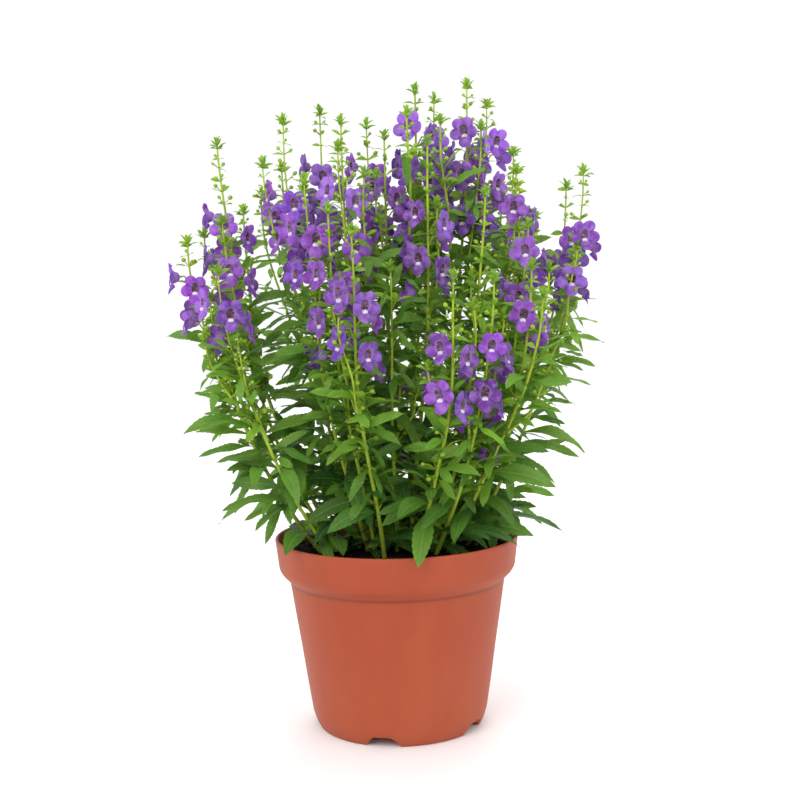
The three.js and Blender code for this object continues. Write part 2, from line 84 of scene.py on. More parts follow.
# Each stem: its tip, how many flowers it has and how far below the tip the topmost one is.
STEMS = (
    ((-102.5, -25, 265), 5, 24), ((-90, 5, 317), 5, 44), ((-85, -22, 276), 5, 26), ((-84, -50, 250), 4, 22),
    ((-54, -5, 327), 6, 44), ((-42, -34, 294), 5, 30), ((-37, 30, 336), 6, 36), ((-24, -8, 326), 6, 42),
    ((-12, 42, 330), 6, 30), ((-2, 10, 320), 5, 34), ((-30, -45, 279), 8, 38), ((-18, -68, 267), 7, 36),
    ((15, 20, 345), 6, 26), ((26, 48, 344), 5, 30), ((20, -24, 313), 8, 42), ((43, 24, 348), 7, 32),
    ((55, 43, 340), 6, 28), ((67, 2, 300), 3, 26), ((98, 38, 294), 5, 36), ((103, 6, 299), 7, 40),
    ((48, -35, 286), 0, 60), ((71, -18, 271), 5, 20), ((30, -67, 245), 7, 40), ((50, -58, 243), 7, 38),
    ((70, -42, 249), 4, 30), ((0, -35, 250), 0, 12), ((-60, 46, 308), 4, 28), ((-25, 60, 300), 4, 28),
    ((18, 66, 308), 4, 28), ((72, 62, 298), 4, 28),
)
# Side shoots in bud: the stem they leave, how far up it, their tip and how far down it is bare.
SHOOTS = (
    (1, 0.5, (-81, 36, 284), 30), (12, 0.55, (10, -4, 330), 40), (15, 0.55, (28, 6, 327), 40),
    (17, 0.5, (68, 28, 312), 40), (24, 0.45, (73, -62, 235), 34),
)


def draw(stem, use, count):
    """The part's repeatable draw from 0 to 1."""
    mask = 0xFFFFFFFF
    mixed = ((stem * 10000 + use * 100 + count + 1) * 0x9E3779B1) & mask
    mixed = ((mixed ^ (mixed >> 15)) * 0x85EBCA6B) & mask
    mixed = ((mixed ^ (mixed >> 13)) * 0xC2B2AE35) & mask
    return (mixed ^ (mixed >> 16)) / 4294967296


def spread(stem, use, count, size):
    return (draw(stem, use, count) * 2 - 1) * size


def mix(a, b, share):
    return a + (b - a) * share


def around(turn, radius, z=0.0):
    return np.array([math.cos(turn) * radius, math.sin(turn) * radius, z])


def unit(v):
    return v / np.linalg.norm(v)


def round_steps(count):
    """Even steps round a circle."""
    return np.arange(count) * 2 * math.pi / count


# Stems

def curve_point(stem, share):
    lean = 1 - (1 - min(share, 1.0)) ** STEM.lean
    wave = math.sin(2 * math.pi * (share + draw(stem.index, USE.sway, 0)))
    swing = STEM.sway * wave * share * (1 - share)
    aside = around(2 * math.pi * draw(stem.index, USE.sway, 1), swing)
    along = np.array([lean, lean, share])
    return stem.foot + (stem.end - stem.foot) * along + aside


def knee_shares(stem):
    rise = stem.end[2] - stem.foot[2]
    bud_start = stem.tip[2] - stem.bare + BRACT.above_flowers
    bud_end = stem.end[2] - BRACT.below_tip
    pairs = 0 if stem.bare < BRACT.least_bare else max(1, math.floor((bud_end - bud_start) / BRACT.spacing))
    start, end = ((z - stem.foot[2]) / rise for z in (bud_start, bud_end))
    plain = max(2, math.floor(rise * start / STEM.knee + 0.5))
    low = [start * i / plain for i in range(plain + 1)]
    buds = [mix(start, end, (i + 1) / pairs) for i in range(pairs)]
    return [*low, *buds, 1.0]


def stem_point(stem, share):
    """The point on the part's own stem, which is straight between its knees."""
    places = np.array(stem.shares)
    return np.array([np.interp(share, places, stem.knees[:, k]) for k in range(3)])


def share_at(stem, z):
    return (z - stem.foot[2]) / (stem.end[2] - stem.foot[2])


def at_height(stem, z):
    return stem_point(stem, share_at(stem, z))


def smooth_at(stem, z):
    return curve_point(stem, share_at(stem, z))


def plan_stem(index, group, tip, flowers, bare, foot, radius):
    tip = np.array(tip, float)
    stem = SimpleNamespace(index=index, group=group, tip=tip, flowers=flowers, bare=bare, radius=radius)
    stem.foot = np.array(foot, float)
    stem.end = tip - UP * TUFT_LENGTH
    stem.facing = math.atan2(tip[1] - BEHIND, tip[0] * SIDEWAYS)
    stem.shares = knee_shares(stem)
    stem.knees = np.array([curve_point(stem, share) for share in stem.shares])
    stem.top_flower = tip[2] - bare
    stem.low_flower = stem.top_flower - (flowers - 1) * FLOWER.rise
    stem.leaf_top = stem.low_flower - CALYX.drop - CORE_BELOW - 3 if flowers else stem.top_flower
    back = min(max((tip[1] + HALF_DEPTH) / (2 * HALF_DEPTH), 0), 1)
    stem.spacing = mix(LEAF.front_spacing, LEAF.back_spacing, back)
    return stem


def planned_stems():
    main = []
    for i, (tip, flowers, bare) in enumerate(STEMS):
        foot = (tip[0] * STEM.base_share, tip[1] * STEM.base_share, SOIL.top - SOIL.depth_of_stems)
        main.append(plan_stem(i, i, tip, flowers, bare, foot, STEM.foot))
    side = []
    for i, (start, at, tip, bare) in enumerate(SHOOTS):
        foot = stem_point(main[start], at)
        side.append(plan_stem(len(STEMS) + i, start, tip, 0, bare, foot, STEM.shoot))
    return main + side


def side_shoots(main):
    """Slender shoots in bud beside the spikes, which the solids leave out."""
    extra = []
    for stem in main:
        for _ in range(1 + stem.index % 2):
            turn = stem.facing + chance.uniform(-2.8, 2.8)
            foot = stem_point(stem, chance.uniform(0.42, 0.58))
            tip = stem.tip + around(turn, chance.uniform(7, 15), -chance.uniform(10, 60))
            tip[:2] = np.clip(tip[:2], -98, 98)
            number = len(STEMS) + len(SHOOTS) + len(extra)
            extra.append(plan_stem(number, stem.group, tip, 0, chance.uniform(30, 55), foot, 0.75))
    return extra


# The camera of the photograph; the leaves that stand out in it, by the pixels of root and tip and how far
# the tip comes forward in millimetres; and the lone flowers below the clusters, by pixel and facing.
CAMERA = SimpleNamespace(
    place=(3.4, -674.0, 234.0), pitch=0.089, roll=math.radians(1.25), lens=57.2, sensor=36.0,
)
FRAME = 800
FOCAL = CAMERA.lens / CAMERA.sensor * FRAME
LEAVES_SEEN = (
    (428, 508, 418, 567, 33), (282, 500, 265, 545, 10), (276, 511, 244, 521, 2), (255, 468, 235, 514, 8),
    (249, 455, 234, 486, 6), (244, 437, 196, 432, 3), (526, 442, 581, 458, 4), (520, 440, 478, 436, 6),
    (514, 467, 511, 502, 9), (516, 505, 542, 524, 4), (497, 495, 522, 538, 10), (522, 490, 555, 496, 2),
    (440, 520, 488, 549, 14), (416, 519, 366, 549, 12), (427, 502, 378, 515, 12), (327, 444, 326, 502, 12),
    (335, 467, 341, 508, 14), (366, 467, 349, 502, 12), (370, 490, 345, 526, 14), (325, 467, 297, 487, 8),
    (542, 380, 591, 385, 3), (537, 420, 565, 424, 3), (530, 457, 557, 486, 4), (229, 409, 195, 393, 2),
    (455, 440, 492, 448, 10), (392, 420, 352, 428, 10), (405, 488, 440, 500, 10), (300, 430, 262, 446, 6),
    (448, 400, 470, 425, 8), (545, 345, 583, 352, 3), (551, 300, 583, 352, 4), (345, 380, 372, 396, 8),
    (405, 330, 372, 300, 5),
)
FLOWERS_SEEN = (((489, 455), -80), ((396, 386), -95), ((311, 358), -60))


def camera_axes():
    """Right, up and ahead as the camera sees them."""
    ahead = np.array([0, math.cos(CAMERA.pitch), -math.sin(CAMERA.pitch)])
    level, upright = np.array([1.0, 0, 0]), np.array([0, math.sin(CAMERA.pitch), math.cos(CAMERA.pitch)])
    right = level * math.cos(CAMERA.roll) - upright * math.sin(CAMERA.roll)
    return right, level * math.sin(CAMERA.roll) + upright * math.cos(CAMERA.roll), ahead


def pixel_of(points):
    right, up, ahead = camera_axes()
    away = points - np.array(CAMERA.place)
    depth = away @ ahead
    across, high = FOCAL * (away @ right) / depth, FOCAL * (away @ up) / depth
    return np.stack([FRAME / 2 + across, FRAME / 2 - high], axis=-1)


def point_behind(pixel, y):
    """The point in the plane at y that a pixel shows."""
    right, up, ahead = camera_axes()
    ray = ahead + right * (pixel[0] - FRAME / 2) / FOCAL + up * (FRAME / 2 - pixel[1]) / FOCAL
    place = np.array(CAMERA.place)
    return place + ray * (y - place[1]) / ray[1]


def nearest_stem(stems, pixel):
    """The stem that passes nearest a pixel, one in front if several do, and the point where it does."""
    best = None
    for stem in stems:
        points = np.array([smooth_at(stem, z) for z in np.arange(SOIL.top + 6, stem.leaf_top, 1.5)])
        off = np.linalg.norm(pixel_of(points) - pixel, axis=1) + (points[:, 1] + 70) * 0.12
        if best is None or off.min() < best[0]:
            best = (off.min(), stem, points[off.argmin()])
    return best[1], best[2]


def seen_flowers(stems):
    """The lone flowers below the clusters."""
    by_stem = {stem.index: [] for stem in stems}
    for pixel, facing in FLOWERS_SEEN:
        stem, beside = nearest_stem([stem for stem in stems if stem.flowers], pixel)
        azimuth = math.radians(facing)
        centre = point_behind(pixel, beside[1] - 8)
        by_stem[stem.index].append(SimpleNamespace(
            azimuth=azimuth, size=0.86, centre=centre, root=centre[2] - CALYX.drop,
            out=around(azimuth, 1), side=around(azimuth + math.pi / 2, 1), rise=UP,
        ))
    return by_stem


def seen_leaves(stems):
    by_stem = {stem.index: [] for stem in stems}
    for *pixels, forward in LEAVES_SEEN:
        stem, root = nearest_stem(stems, pixels[:2])
        chord = point_behind(pixels[2:], root[1] - forward) - root
        reach = math.hypot(chord[0], chord[1])
        azimuth = math.atan2(chord[1], chord[0])
        droop = chance.uniform(10, 34)
        pitch = math.degrees(math.atan2(chord[2], reach)) + droop / 2
        leaf = free_leaf(root, azimuth, pitch, droop, chance.normal(0, 8), np.linalg.norm(chord) * 1.01)
        by_stem[stem.index].append(leaf)
    return by_stem


# Finding, among the places that the part's source tries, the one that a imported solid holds

def corners_of(node):
    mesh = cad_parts[node].data
    tree = KDTree(len(mesh.vertices))
    for i, vertex in enumerate(mesh.vertices):
        tree.insert(vertex.co * 1000, i)
    tree.balance()
    return tree


def holds(tree, points):
    return all(tree.find(point)[2] < 0.03 for point in points)


def midrib(leaf, share):
    share = np.atleast_1d(share)
    p, d = leaf.pitch, leaf.droop
    out = (np.sin(p) - np.sin(p - d * share)) / d
    up = (np.cos(p - d * share) - np.cos(p)) / d
    ahead = around(leaf.azimuth, 1)
    return leaf.root + leaf.length * (out[:, None] * ahead + up[:, None] * UP)


def leaf_at(stem, z, pair, side, attempt=(1, 0, 0)):
    shorter, steeper, turn = attempt
    strays = [spread(stem.index, use, pair * 2 + side, most) for use, most in LEAF_STRAY]
    up = height_share(stem, z)
    place = stem.facing + math.radians(45 + pair % 2 * 90 + side * 180 + turn)
    return SimpleNamespace(
        root=at_height(stem, z),
        azimuth=place + math.radians(strays[0]),
        pitch=math.radians(mix(*LEAF.pitch, up) + steeper + strays[1]),
        droop=math.radians(mix(*LEAF.droop, up) + strays[2]),
        roll=math.radians(strays[3]),
        length=mix(*LEAF.length, up) * shorter * (1 + strays[4]),
    )


def across_of(leaf):
    return around(leaf.azimuth + math.pi / 2, math.cos(leaf.roll), math.sin(leaf.roll))


def leaf_places(stem):
    """Every place of an opposite pair: (height, pair, side)."""
    start = draw(stem.index, USE.start, 0) * stem.spacing * 0.7
    low = max(SOIL.top, stem.foot[2]) + LEAF.lowest + start
    pair = 0
    while low + pair * stem.spacing < stem.leaf_top:
        for side in (0, 1):
            yield low + pair * stem.spacing, pair, side
        pair += 1


def height_share(stem, z):
    return (z - SOIL.top) / (stem.leaf_top - SOIL.top)


def solid_leaf(stem, z, pair, side, tree):
    for attempt in LEAF_TRIES:
        leaf = leaf_at(stem, z, pair, side, attempt)
        if holds(tree, midrib(leaf, 1)):
            return leaf
    return None


def flower_at(stem, count, attempt=(0, 0, 0)):
    reach, shift, turn = attempt
    wobble = [spread(stem.index, USE.flower, count * 4 + k, size) for k, size in enumerate(FLOWER_STRAY)]
    node = stem.top_flower - count * FLOWER.rise + shift
    azimuth = stem.facing + math.radians(FLOWER.ranks[count % 4] + turn + wobble[0])
    tilt, roll = math.radians(-2 + wobble[1]), math.radians(wobble[2])
    level, side = around(azimuth, 1), around(azimuth + math.pi / 2, 1)
    rise = -level * math.sin(tilt) + UP * math.cos(tilt)
    return SimpleNamespace(
        azimuth=azimuth,
        size=1 + wobble[3],
        centre=at_height(stem, node) + around(azimuth, FLOWER.reach + reach),
        root=node - CALYX.drop,
        out=level * math.cos(tilt) + UP * math.sin(tilt),
        side=side * math.cos(roll) - rise * math.sin(roll),
        rise=rise * math.cos(roll) + side * math.sin(roll),
    )


def flower_point(flower, turn, reach, forward):
    turn = math.radians(turn)
    flat = flower.rise * math.cos(turn) * reach + flower.side * math.sin(turn) * reach
    return flower.centre + flat + flower.out * forward


def solid_flower(stem, count, tree):
    for attempt in FLOWER_TRIES:
        flower = flower_at(stem, count, attempt)
        rim = [
            flower_point(flower, turn + half, reach * flower.size, forward)
            for turn, reach, half, forward in (LOBES[0], LOBES[2], LOBES[3])
        ]
        if holds(tree, rim):
            return flower
    return None


# Meshes

def srgb(red, green, blue):
    value = np.array([red, green, blue]) / 255
    return np.where(value <= 0.04045, value / 12.92, ((value + 0.055) / 1.055) ** 2.4)


class Shape:
    """Points, faces and each point's paint and spot, gathered for one mesh."""

    def __init__(self):
        self.points, self.faces, self.paint, self.spot = [], [], [], []
        self.count = 0

    def add(self, points, faces, paint, spot=(0.0, 0.0, 0.0)):
        points = np.asarray(points, float).reshape(-1, 3)
        self.faces.extend((np.asarray(faces) + self.count).tolist())
        self.points.append(points)
        self.paint.append(np.broadcast_to(paint, points.shape))
        self.spot.append(np.broadcast_to(spot, points.shape))
        self.count += len(points)


def add_object(name, data):
    made = bpy.data.objects.new(name, data)
    bpy.context.scene.collection.objects.link(made)
    return made


def make_piece(name, shape, material, slot, *nodes):
    mesh = bpy.data.meshes.new(name)
    mesh.from_pydata((np.concatenate(shape.points) / 1000).tolist(), [], shape.faces)
    paint = np.concatenate(shape.paint)
    opaque = np.hstack([paint, np.ones((len(paint), 1))]).astype(np.float32)
    mesh.attributes.new("paint", "FLOAT_COLOR", "POINT").data.foreach_set("color", opaque.ravel())
    spot = np.concatenate(shape.spot).astype(np.float32)
    mesh.attributes.new("spot", "FLOAT_VECTOR", "POINT").data.foreach_set("vector", spot.ravel())
    mesh.polygons.foreach_set("use_smooth", [True] * len(mesh.polygons))
    mesh.materials.append(material)
    mesh.update()
    piece = add_object(name, mesh)
    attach(piece, "root")
    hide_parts(*nodes)
    return piece


def grid_faces(rows, columns, closed=False):
    """Faces of a grid of points, row by row; a closed grid joins each row's ends."""
    last = columns if closed else columns - 1
    row, column = np.meshgrid(np.arange(rows - 1), np.arange(last), indexing="ij")
    start = row * columns + column
    after = row * columns + (column + 1) % columns
    return np.stack([start, after, after + columns, start + columns], axis=-1).reshape(-1, 4)


def frames_along(points):
    """Two unit vectors square to a line at each of its points."""
    ahead = np.gradient(points, axis=0)
    ahead /= np.linalg.norm(ahead, axis=1)[:, None]
    steady = np.array([0.31, 0.95, 0.05]) if abs(ahead[:, 2]).mean() > 0.7 else UP
    first = np.cross(steady, ahead)
    first /= np.linalg.norm(first, axis=1)[:, None]
    return first, np.cross(ahead, first)


def thread(shape, points, radii, paint, sides=4, corners=0.0, turn=0.0):
    """A tube along a line. Corners above 0 make it square, with rounded edges."""
    points = np.asarray(points, float)
    first, second = frames_along(points)
    angles = turn + round_steps(sides)
    outline = 1 + corners * np.cos(4 * (angles - turn))
    radii = np.broadcast_to(radii, len(points))
    round_it = first[:, None] * np.cos(angles)[:, None] + second[:, None] * np.sin(angles)[:, None]
    rings = points[:, None] + round_it * (radii[:, None] * outline[None])[:, :, None]
    if np.ndim(paint) == 2:
        paint = np.repeat(paint, sides, axis=0)
    shape.add(rings, grid_faces(len(points), sides, closed=True), paint)


def ball(shape, centre, axis, radius, paint, stretch=1.0, rows=4, sides=6):
    """A small round body, longer along its axis by stretch."""
    axis = unit(axis)
    first = unit(np.cross(axis, [0.3, 0.5, 0.81]))
    second = np.cross(axis, first)
    lift = np.linspace(0.04, math.pi - 0.04, rows)
    angles = round_steps(sides)
    ring = first * np.cos(angles)[:, None] + second * np.sin(angles)[:, None]
    rings = (np.sin(lift)[:, None, None] * ring[None] - np.cos(lift)[:, None, None] * axis * stretch) * radius
    shape.add(centre + rings, grid_faces(rows, sides, closed=True), paint)


# Leaves

# How far a sideways leaf rolls to the front, in degrees; how high the front has few small leaves; and where
# along a leaf its teeth are.
FRONT_ROLL = 32.0
LOW_FRONT = 126.0
TEETH = (0.44, 0.53, 0.62, 0.71, 0.8, 0.885)


def toothed_outline():
    """Half a leaf's outline as shares of its length and of its half-width, with small teeth to the tip."""
    smooth = np.array([
        [0, 0.1], [0.06, 0.12], [0.14, 0.3], [0.24, 0.6], [0.34, 0.84], [0.44, 0.97], [0.55, 1], [0.66, 0.92],
        [0.78, 0.72], [0.88, 0.46], [0.95, 0.22], [1, 0.02],
    ])
    rows = [tuple(row) for row in smooth if row[0] < 0.4]
    for place in TEETH:
        width = np.interp(place, smooth[:, 0], smooth[:, 1])
        rows.append((place, width + 0.06))
        rows.append((place + 0.02, width - 0.07))
    return np.array([*rows, (0.95, 0.22), (1, 0.02)])


TOOTHED = toothed_outline()
PLAIN = np.array([[0, 0.12], [0.12, 0.35], [0.32, 0.88], [0.52, 1], [0.72, 0.78], [0.88, 0.4], [1, 0.04]])

FRESH = srgb(134, 186, 54)
DEEP = srgb(64, 114, 34)
LIME = srgb(172, 218, 64)
STALK = srgb(200, 224, 66)
STALK_LOW = srgb(184, 208, 62)
BROWN = srgb(112, 78, 42)


def blade(shape, leaf, outline, half, paint, fold=0.2, wave=0.0):
    """A thin leaf along its midrib, with raised sides and a wavy edge."""
    along, width = outline[:, 0], outline[:, 1] * half
    angle = leaf.pitch - leaf.droop * along
    ahead, across = around(leaf.azimuth, 1), across_of(leaf)
    tangent = np.cos(angle)[:, None] * ahead + np.sin(angle)[:, None] * UP
    normal = np.cross(tangent, across)
    columns = np.array([-1, -0.5, 0, 0.5, 1]) if len(outline) > 8 else np.array([-1, 0, 1])
    ripple = wave * np.sin(along[:, None] * 13 + columns[None] * 1.7 + leaf.length)
    lift = fold * abs(columns)[None] * width[:, None]
    lift = lift + 0.16 * width[:, None] * (1 - abs(abs(columns)[None] * 2 - 1)) + ripple * abs(columns)[None]
    places = midrib(leaf, along)[:, None] + (columns[None] * width[:, None])[:, :, None] * across
    points = places + lift[:, :, None] * normal[:, None]
    spot = np.stack(np.broadcast_arrays(along[:, None], columns[None], 1.0), axis=-1).reshape(-1, 3)
    shape.add(points, grid_faces(len(outline), len(columns)), paint, spot)


def face_front(azimuth):
    """The roll in degrees that turns a sideways leaf's upper face towards the front, where the light is."""
    return FRONT_ROLL * math.cos(azimuth)


def free_leaf(root, azimuth, pitch, droop, roll, length):
    degrees = (pitch, droop, roll + face_front(azimuth))
    pitch, droop, roll = (math.radians(v) for v in degrees)
    return SimpleNamespace(root=root, azimuth=azimuth, pitch=pitch, droop=droop, roll=roll, length=length)


def leaf_paint(leaf, youth_and_light):
    """A leaf's green. The share it is given stands for younger growth and painted light together; painted
    shade deepens it towards the middle of the plant.
    """
    # Painted shade: leaves rooted nearer the middle of the plant are painted darker.
    youth_and_light -= 0.35 * max(0.0, 1 - math.hypot(leaf.root[0], leaf.root[1] + 20) / 45)
    tone = mix(DEEP, FRESH, np.clip(youth_and_light, -0.25, 1.2))
    light = chance.uniform(0.85, 1.15)
    return tone * light * np.array([chance.uniform(0.9, 1.12), 1, chance.uniform(0.85, 1.1)])


def grow_leaves(shape, stem, tree):
    for z, pair, side in leaf_places(stem):
        solid = solid_leaf(stem, z, pair, side, tree)
        leaf = solid or leaf_at(stem, z, pair, side)
        leaf.root = smooth_at(stem, z)
        leaf.roll += math.radians(face_front(leaf.azimuth))
        if not solid:
            leaf.length *= 0.8
        up = height_share(stem, z)
        # Paler higher up, partly as younger growth and partly as painted light; the lower leaves get painted
        # shade.
        paint = leaf_paint(leaf, 0.12 + 0.7 * up + chance.uniform(-0.2, 0.2))
        half = leaf.length * chance.uniform(0.105, 0.128)
        blade(shape, leaf, TOOTHED, half, paint, fold=chance.uniform(0.1, 0.35), wave=0.4)
        if side == 0 and (stem.tip[1] > 0 or z > LOW_FRONT):
            grow_between(shape, stem, z + stem.spacing * chance.uniform(0.35, 0.6), pair)
        grow_axil(shape, stem, z, leaf.azimuth, up)


def grow_between(shape, stem, z, pair):
    """A pair of shorter leaves between two pairs that the solid has."""
    up = height_share(stem, z)
    turn = stem.facing + math.radians(45 + (pair + 1) % 2 * 90)
    for side in (0, 1):
        leaf = free_leaf(
            smooth_at(stem, z), turn + side * math.pi + chance.normal(0, 0.45),
            mix(*LEAF.pitch, up) + chance.normal(0, 18),
            chance.uniform(8, 50), chance.normal(0, 26),
            mix(*LEAF.length, up) * chance.uniform(0.62, 0.92),
        )
        # Paler higher up, partly as younger growth and partly as painted light; the lower leaves get painted
        # shade.
        paint = leaf_paint(leaf, 0.12 + 0.75 * up + chance.uniform(-0.25, 0.25))
        half = leaf.length * chance.uniform(0.105, 0.13)
        blade(shape, leaf, TOOTHED, half, paint, fold=chance.uniform(0.1, 0.35), wave=0.4)


def grow_fill(shape, stem):
    """The shorter leaves of side shoots, which turn every way."""
    low = max(stem.foot[2] + 8, LOW_FRONT if stem.tip[1] < 0 else SOIL.top + 10)
    for z in np.arange(low, stem.leaf_top, 5.5):
        up = height_share(stem, z)
        side = stem.facing + chance.uniform(-2.2, 2.2)
        root = smooth_at(stem, z) + around(side, chance.uniform(0.5, 7), chance.uniform(-1, 3))
        leaf = free_leaf(
            root, side + chance.normal(0, 0.5), chance.uniform(-48, 26), chance.uniform(4, 36),
            chance.normal(0, 26), mix(30, 17, up) * chance.uniform(0.65, 1.15),
        )
        # Paler higher up, partly as younger growth and partly as painted light; the lower leaves get painted
        # shade.
        paint = leaf_paint(leaf, 0.1 + 0.75 * up + chance.uniform(-0.3, 0.45))
        blade(shape, leaf, TOOTHED, leaf.length * 0.135, paint, fold=chance.uniform(0.05, 0.35), wave=0.3)


def grow_axil(shape, stem, z, azimuth, up):
    """The young shoot in a leaf's axil."""
    if chance.random() > 0.6:
        return
    size = chance.uniform(0.6, 1.3)
    root = smooth_at(stem, z + 1)
    stalk = unit(around(azimuth, 0.7, 1)) * 5 * size
    thread(shape, [root, root + stalk * 0.5, root + stalk], [0.5, 0.45, 0.4], STALK, sides=4)
    for k in range(4):
        leaf = free_leaf(
            root + stalk * (0.55 + 0.12 * k), azimuth + k * math.pi / 2 + 0.5 + chance.normal(0, 0.2),
            chance.uniform(30, 65), chance.uniform(20, 60), chance.normal(0, 15),
            chance.uniform(7, 13) * size,
        )
        paint = mix(FRESH, LIME, chance.uniform(0.2, 1)) * chance.uniform(0.85, 1.1)
        blade(shape, leaf, PLAIN, leaf.length * 0.15, paint, fold=0.3)


# The parts of a spike that are green

def grow_stem(shape, stem):
    shares = np.linspace(0, 1, 40)
    points = np.array([curve_point(stem, share) for share in shares])
    radii = mix(stem.radius * 0.92, STEM.tip * 0.65, shares)
    paint = mix(STALK_LOW, STALK, np.clip(shares * 1.6, 0, 1)[:, None])
    thread(shape, points, radii, paint, sides=8, corners=0.12, turn=stem.facing)


def grow_tuft(shape, stem):
    for k in range(10):
        low = k / 10
        leaf = free_leaf(
            stem.end + UP * (-1.5 + 3.2 * low), stem.facing + k * 2.4,
            mix(35, 82, low) + chance.normal(0, 6), chance.uniform(10, 40), chance.normal(0, 12),
            mix(6.4, 4.4, low) * chance.uniform(0.85, 1.15),
        )
        paint = mix(LIME, FRESH, chance.uniform(0, 0.5)) * chance.uniform(0.9, 1.15)
        blade(shape, leaf, PLAIN, leaf.length * 0.21, paint, fold=0.35)


def grow_buds(shape, stem):
    """Crossed pairs of bracts with a ball-shaped bud on a thin stalk in each axil."""
    z = stem.end[2] - 1.5
    pair = 0
    low = stem.top_flower + 3 if stem.flowers else stem.top_flower
    while z > low:
        down = (stem.end[2] - z) / max(stem.end[2] - low, 1)
        for side in (0, 1):
            azimuth = stem.facing + math.radians(pair % 2 * 90 + side * 180) + chance.normal(0, 0.2)
            grow_bract(shape, stem, z, azimuth, mix(4.5, 8, down))
            if chance.random() < 0.85:
                grow_bud(shape, stem, z, azimuth, down)
        z -= mix(4.4, 8.5, down) * chance.uniform(0.85, 1.15)
        pair += 1


def grow_bract(shape, stem, z, azimuth, length):
    leaf = free_leaf(
        smooth_at(stem, z), azimuth, chance.uniform(8, 45), chance.uniform(10, 55), chance.normal(0, 22),
        length * chance.uniform(0.8, 1.25),
    )
    paint = mix(FRESH, LIME, chance.uniform(0.1, 0.9)) * chance.uniform(0.85, 1.2)
    blade(shape, leaf, PLAIN, leaf.length * 0.15 + 0.25, paint, fold=0.3)


def grow_bud(shape, stem, z, azimuth, down):
    root = smooth_at(stem, z + 0.5)
    reach = mix(1.8, 5.2, down) * chance.uniform(0.8, 1.2)
    lift = around(azimuth + chance.normal(0, 0.25), 0.8, chance.uniform(0.35, 0.8))
    centre = root + unit(lift) * reach
    thread(shape, [root, mix(root, centre, 0.5) - UP * 0.2, centre], 0.28, STALK, sides=3)
    radius = mix(0.75, 1.25, down) * chance.uniform(0.85, 1.2)
    paint = mix(LIME, STALK, chance.uniform(0, 0.8)) * chance.uniform(0.9, 1.1)
    ball(shape, centre + unit(lift) * radius * 0.6, lift, radius, paint, stretch=1.15)


def grow_spike(shape, stem):
    grow_stem(shape, stem)
    grow_tuft(shape, stem)
    grow_buds(shape, stem)


def grow_spent(shape, stem):
    """Below the flowers: bracts, and thin stalks that end in a green capsule or in a dry scrap."""
    z = stem.low_flower - CALYX.drop - 1
    for count in range(7):
        z -= 5.5
        if z < SOIL.top + 40:
            return
        for side in (0, 1):
            azimuth = stem.facing + math.radians(count % 2 * 90 + side * 180) + chance.normal(0, 0.3)
            grow_bract(shape, stem, z, azimuth, mix(8, 14, count / 7))
            root = smooth_at(stem, z)
            reach = chance.uniform(5.5, 9.5)
            end = root + around(azimuth + chance.normal(0, 0.25), reach, chance.uniform(0.5, 4))
            middle = mix(root, end, 0.55) + UP * 0.8
            thread(shape, [root, middle, end], [0.35, 0.28, 0.3], STALK, sides=3)
            dry = chance.random() < 0.35
            tone = mix(STALK, BROWN, chance.uniform(0.5, 1)) if dry else mix(LIME, STALK, chance.random())
            ball(shape, end, end - middle, 0.7 if dry else chance.uniform(0.9, 1.5), tone, stretch=1.1)


def grow_stalk(shape, stem, flower):
    """A flower's stalk, its bract and its five sepals."""
    start = smooth_at(stem, flower.root)
    back = flower_point(flower, 0, 0, -CALYX.depth)
    bend = back - flower.out * 2.4
    line = [start, mix(start, bend, 0.5) - UP * 0.4, bend, back]
    thread(shape, line, [0.5, 0.42, 0.42, 0.6], mix(STALK, FRESH, 0.3), sides=5)
    for turn, stray in ((0, 0.3), (math.pi, 0.5)):
        azimuth = flower.azimuth + turn + chance.normal(0, stray)
        grow_bract(shape, stem, flower.root - 0.5, azimuth, chance.uniform(7, 11))
    for k in range(5):
        turn = 36 + 72 * k
        tip = flower_point(flower, turn, 2.3, -CALYX.depth + 3.1)
        foot = flower_point(flower, turn, 0.5, -CALYX.depth - 0.2)
        beside = unit(np.cross(tip - foot, flower.out)) * 0.75
        belly = flower_point(flower, turn, 1.75, -CALYX.depth + 1.1)
        shape.add([foot, belly - beside, belly + beside, tip], [[0, 1, 3, 2]], mix(FRESH, LIME, 0.3))


# Flowers

# Flowers added to a stem at the back, points across a lobe, a lobe's radius as a share of its reach, and
# what a spot's third number says of the surface.
LATE_FLOWERS = 3
LOBE_STEPS = 12
LOBE_ROUND = 0.425
PETAL_KIND, THROAT_KIND, TOOTH_KIND = 1.0, 2.0, 3.0
VIOLET = srgb(116, 62, 184)
LIGHT_VIOLET = srgb(164, 112, 220)
MAGENTA = srgb(138, 54, 174)
PALE = srgb(206, 176, 232)
MAROON = srgb(70, 16, 50)
STREAK = srgb(206, 160, 186)
WHITE = srgb(246, 242, 250)


def lobe_outline():
    """Angles from straight up, with each one's reach, forward edge and share across its round lobe."""
    angles, reach, forward, share = [], [], [], []
    for i, (turn, far, _, ahead) in enumerate(LOBES):
        before = (LOBES[i - 1][0] - (360 if i == 0 else 0) + turn) / 2
        after = (LOBES[(i + 1) % 5][0] + (360 if i == 4 else 0) + turn) / 2
        radius = far * LOBE_ROUND
        middle = far - radius + 0.2
        for step in range(LOBE_STEPS):
            across = -1 + 2 * step / LOBE_STEPS
            across = math.copysign(abs(across) ** 0.8, across)
            off = across * (after - turn if across > 0 else turn - before)
            aside = middle * math.sin(math.radians(off))
            round_edge = middle * math.cos(math.radians(off)) + math.sqrt(max(radius**2 - aside**2, 0))
            angles.append(turn + off)
            reach.append(max(round_edge, FLOWER.notch))
            forward.append(mix(ahead, -FLOWER.notch_back, abs(across) ** 3))
            share.append(across)
    return tuple(np.array(values) for values in (np.radians(angles), reach, forward, share))


ANGLES, REACH, FORWARD, LOBE_SHARE = lobe_outline()
LOBE = np.repeat(np.arange(5), LOBE_STEPS)
THROAT = 2.95 + 0.1 * np.cos(ANGLES) + 0.5 * np.cos(2 * ANGLES)
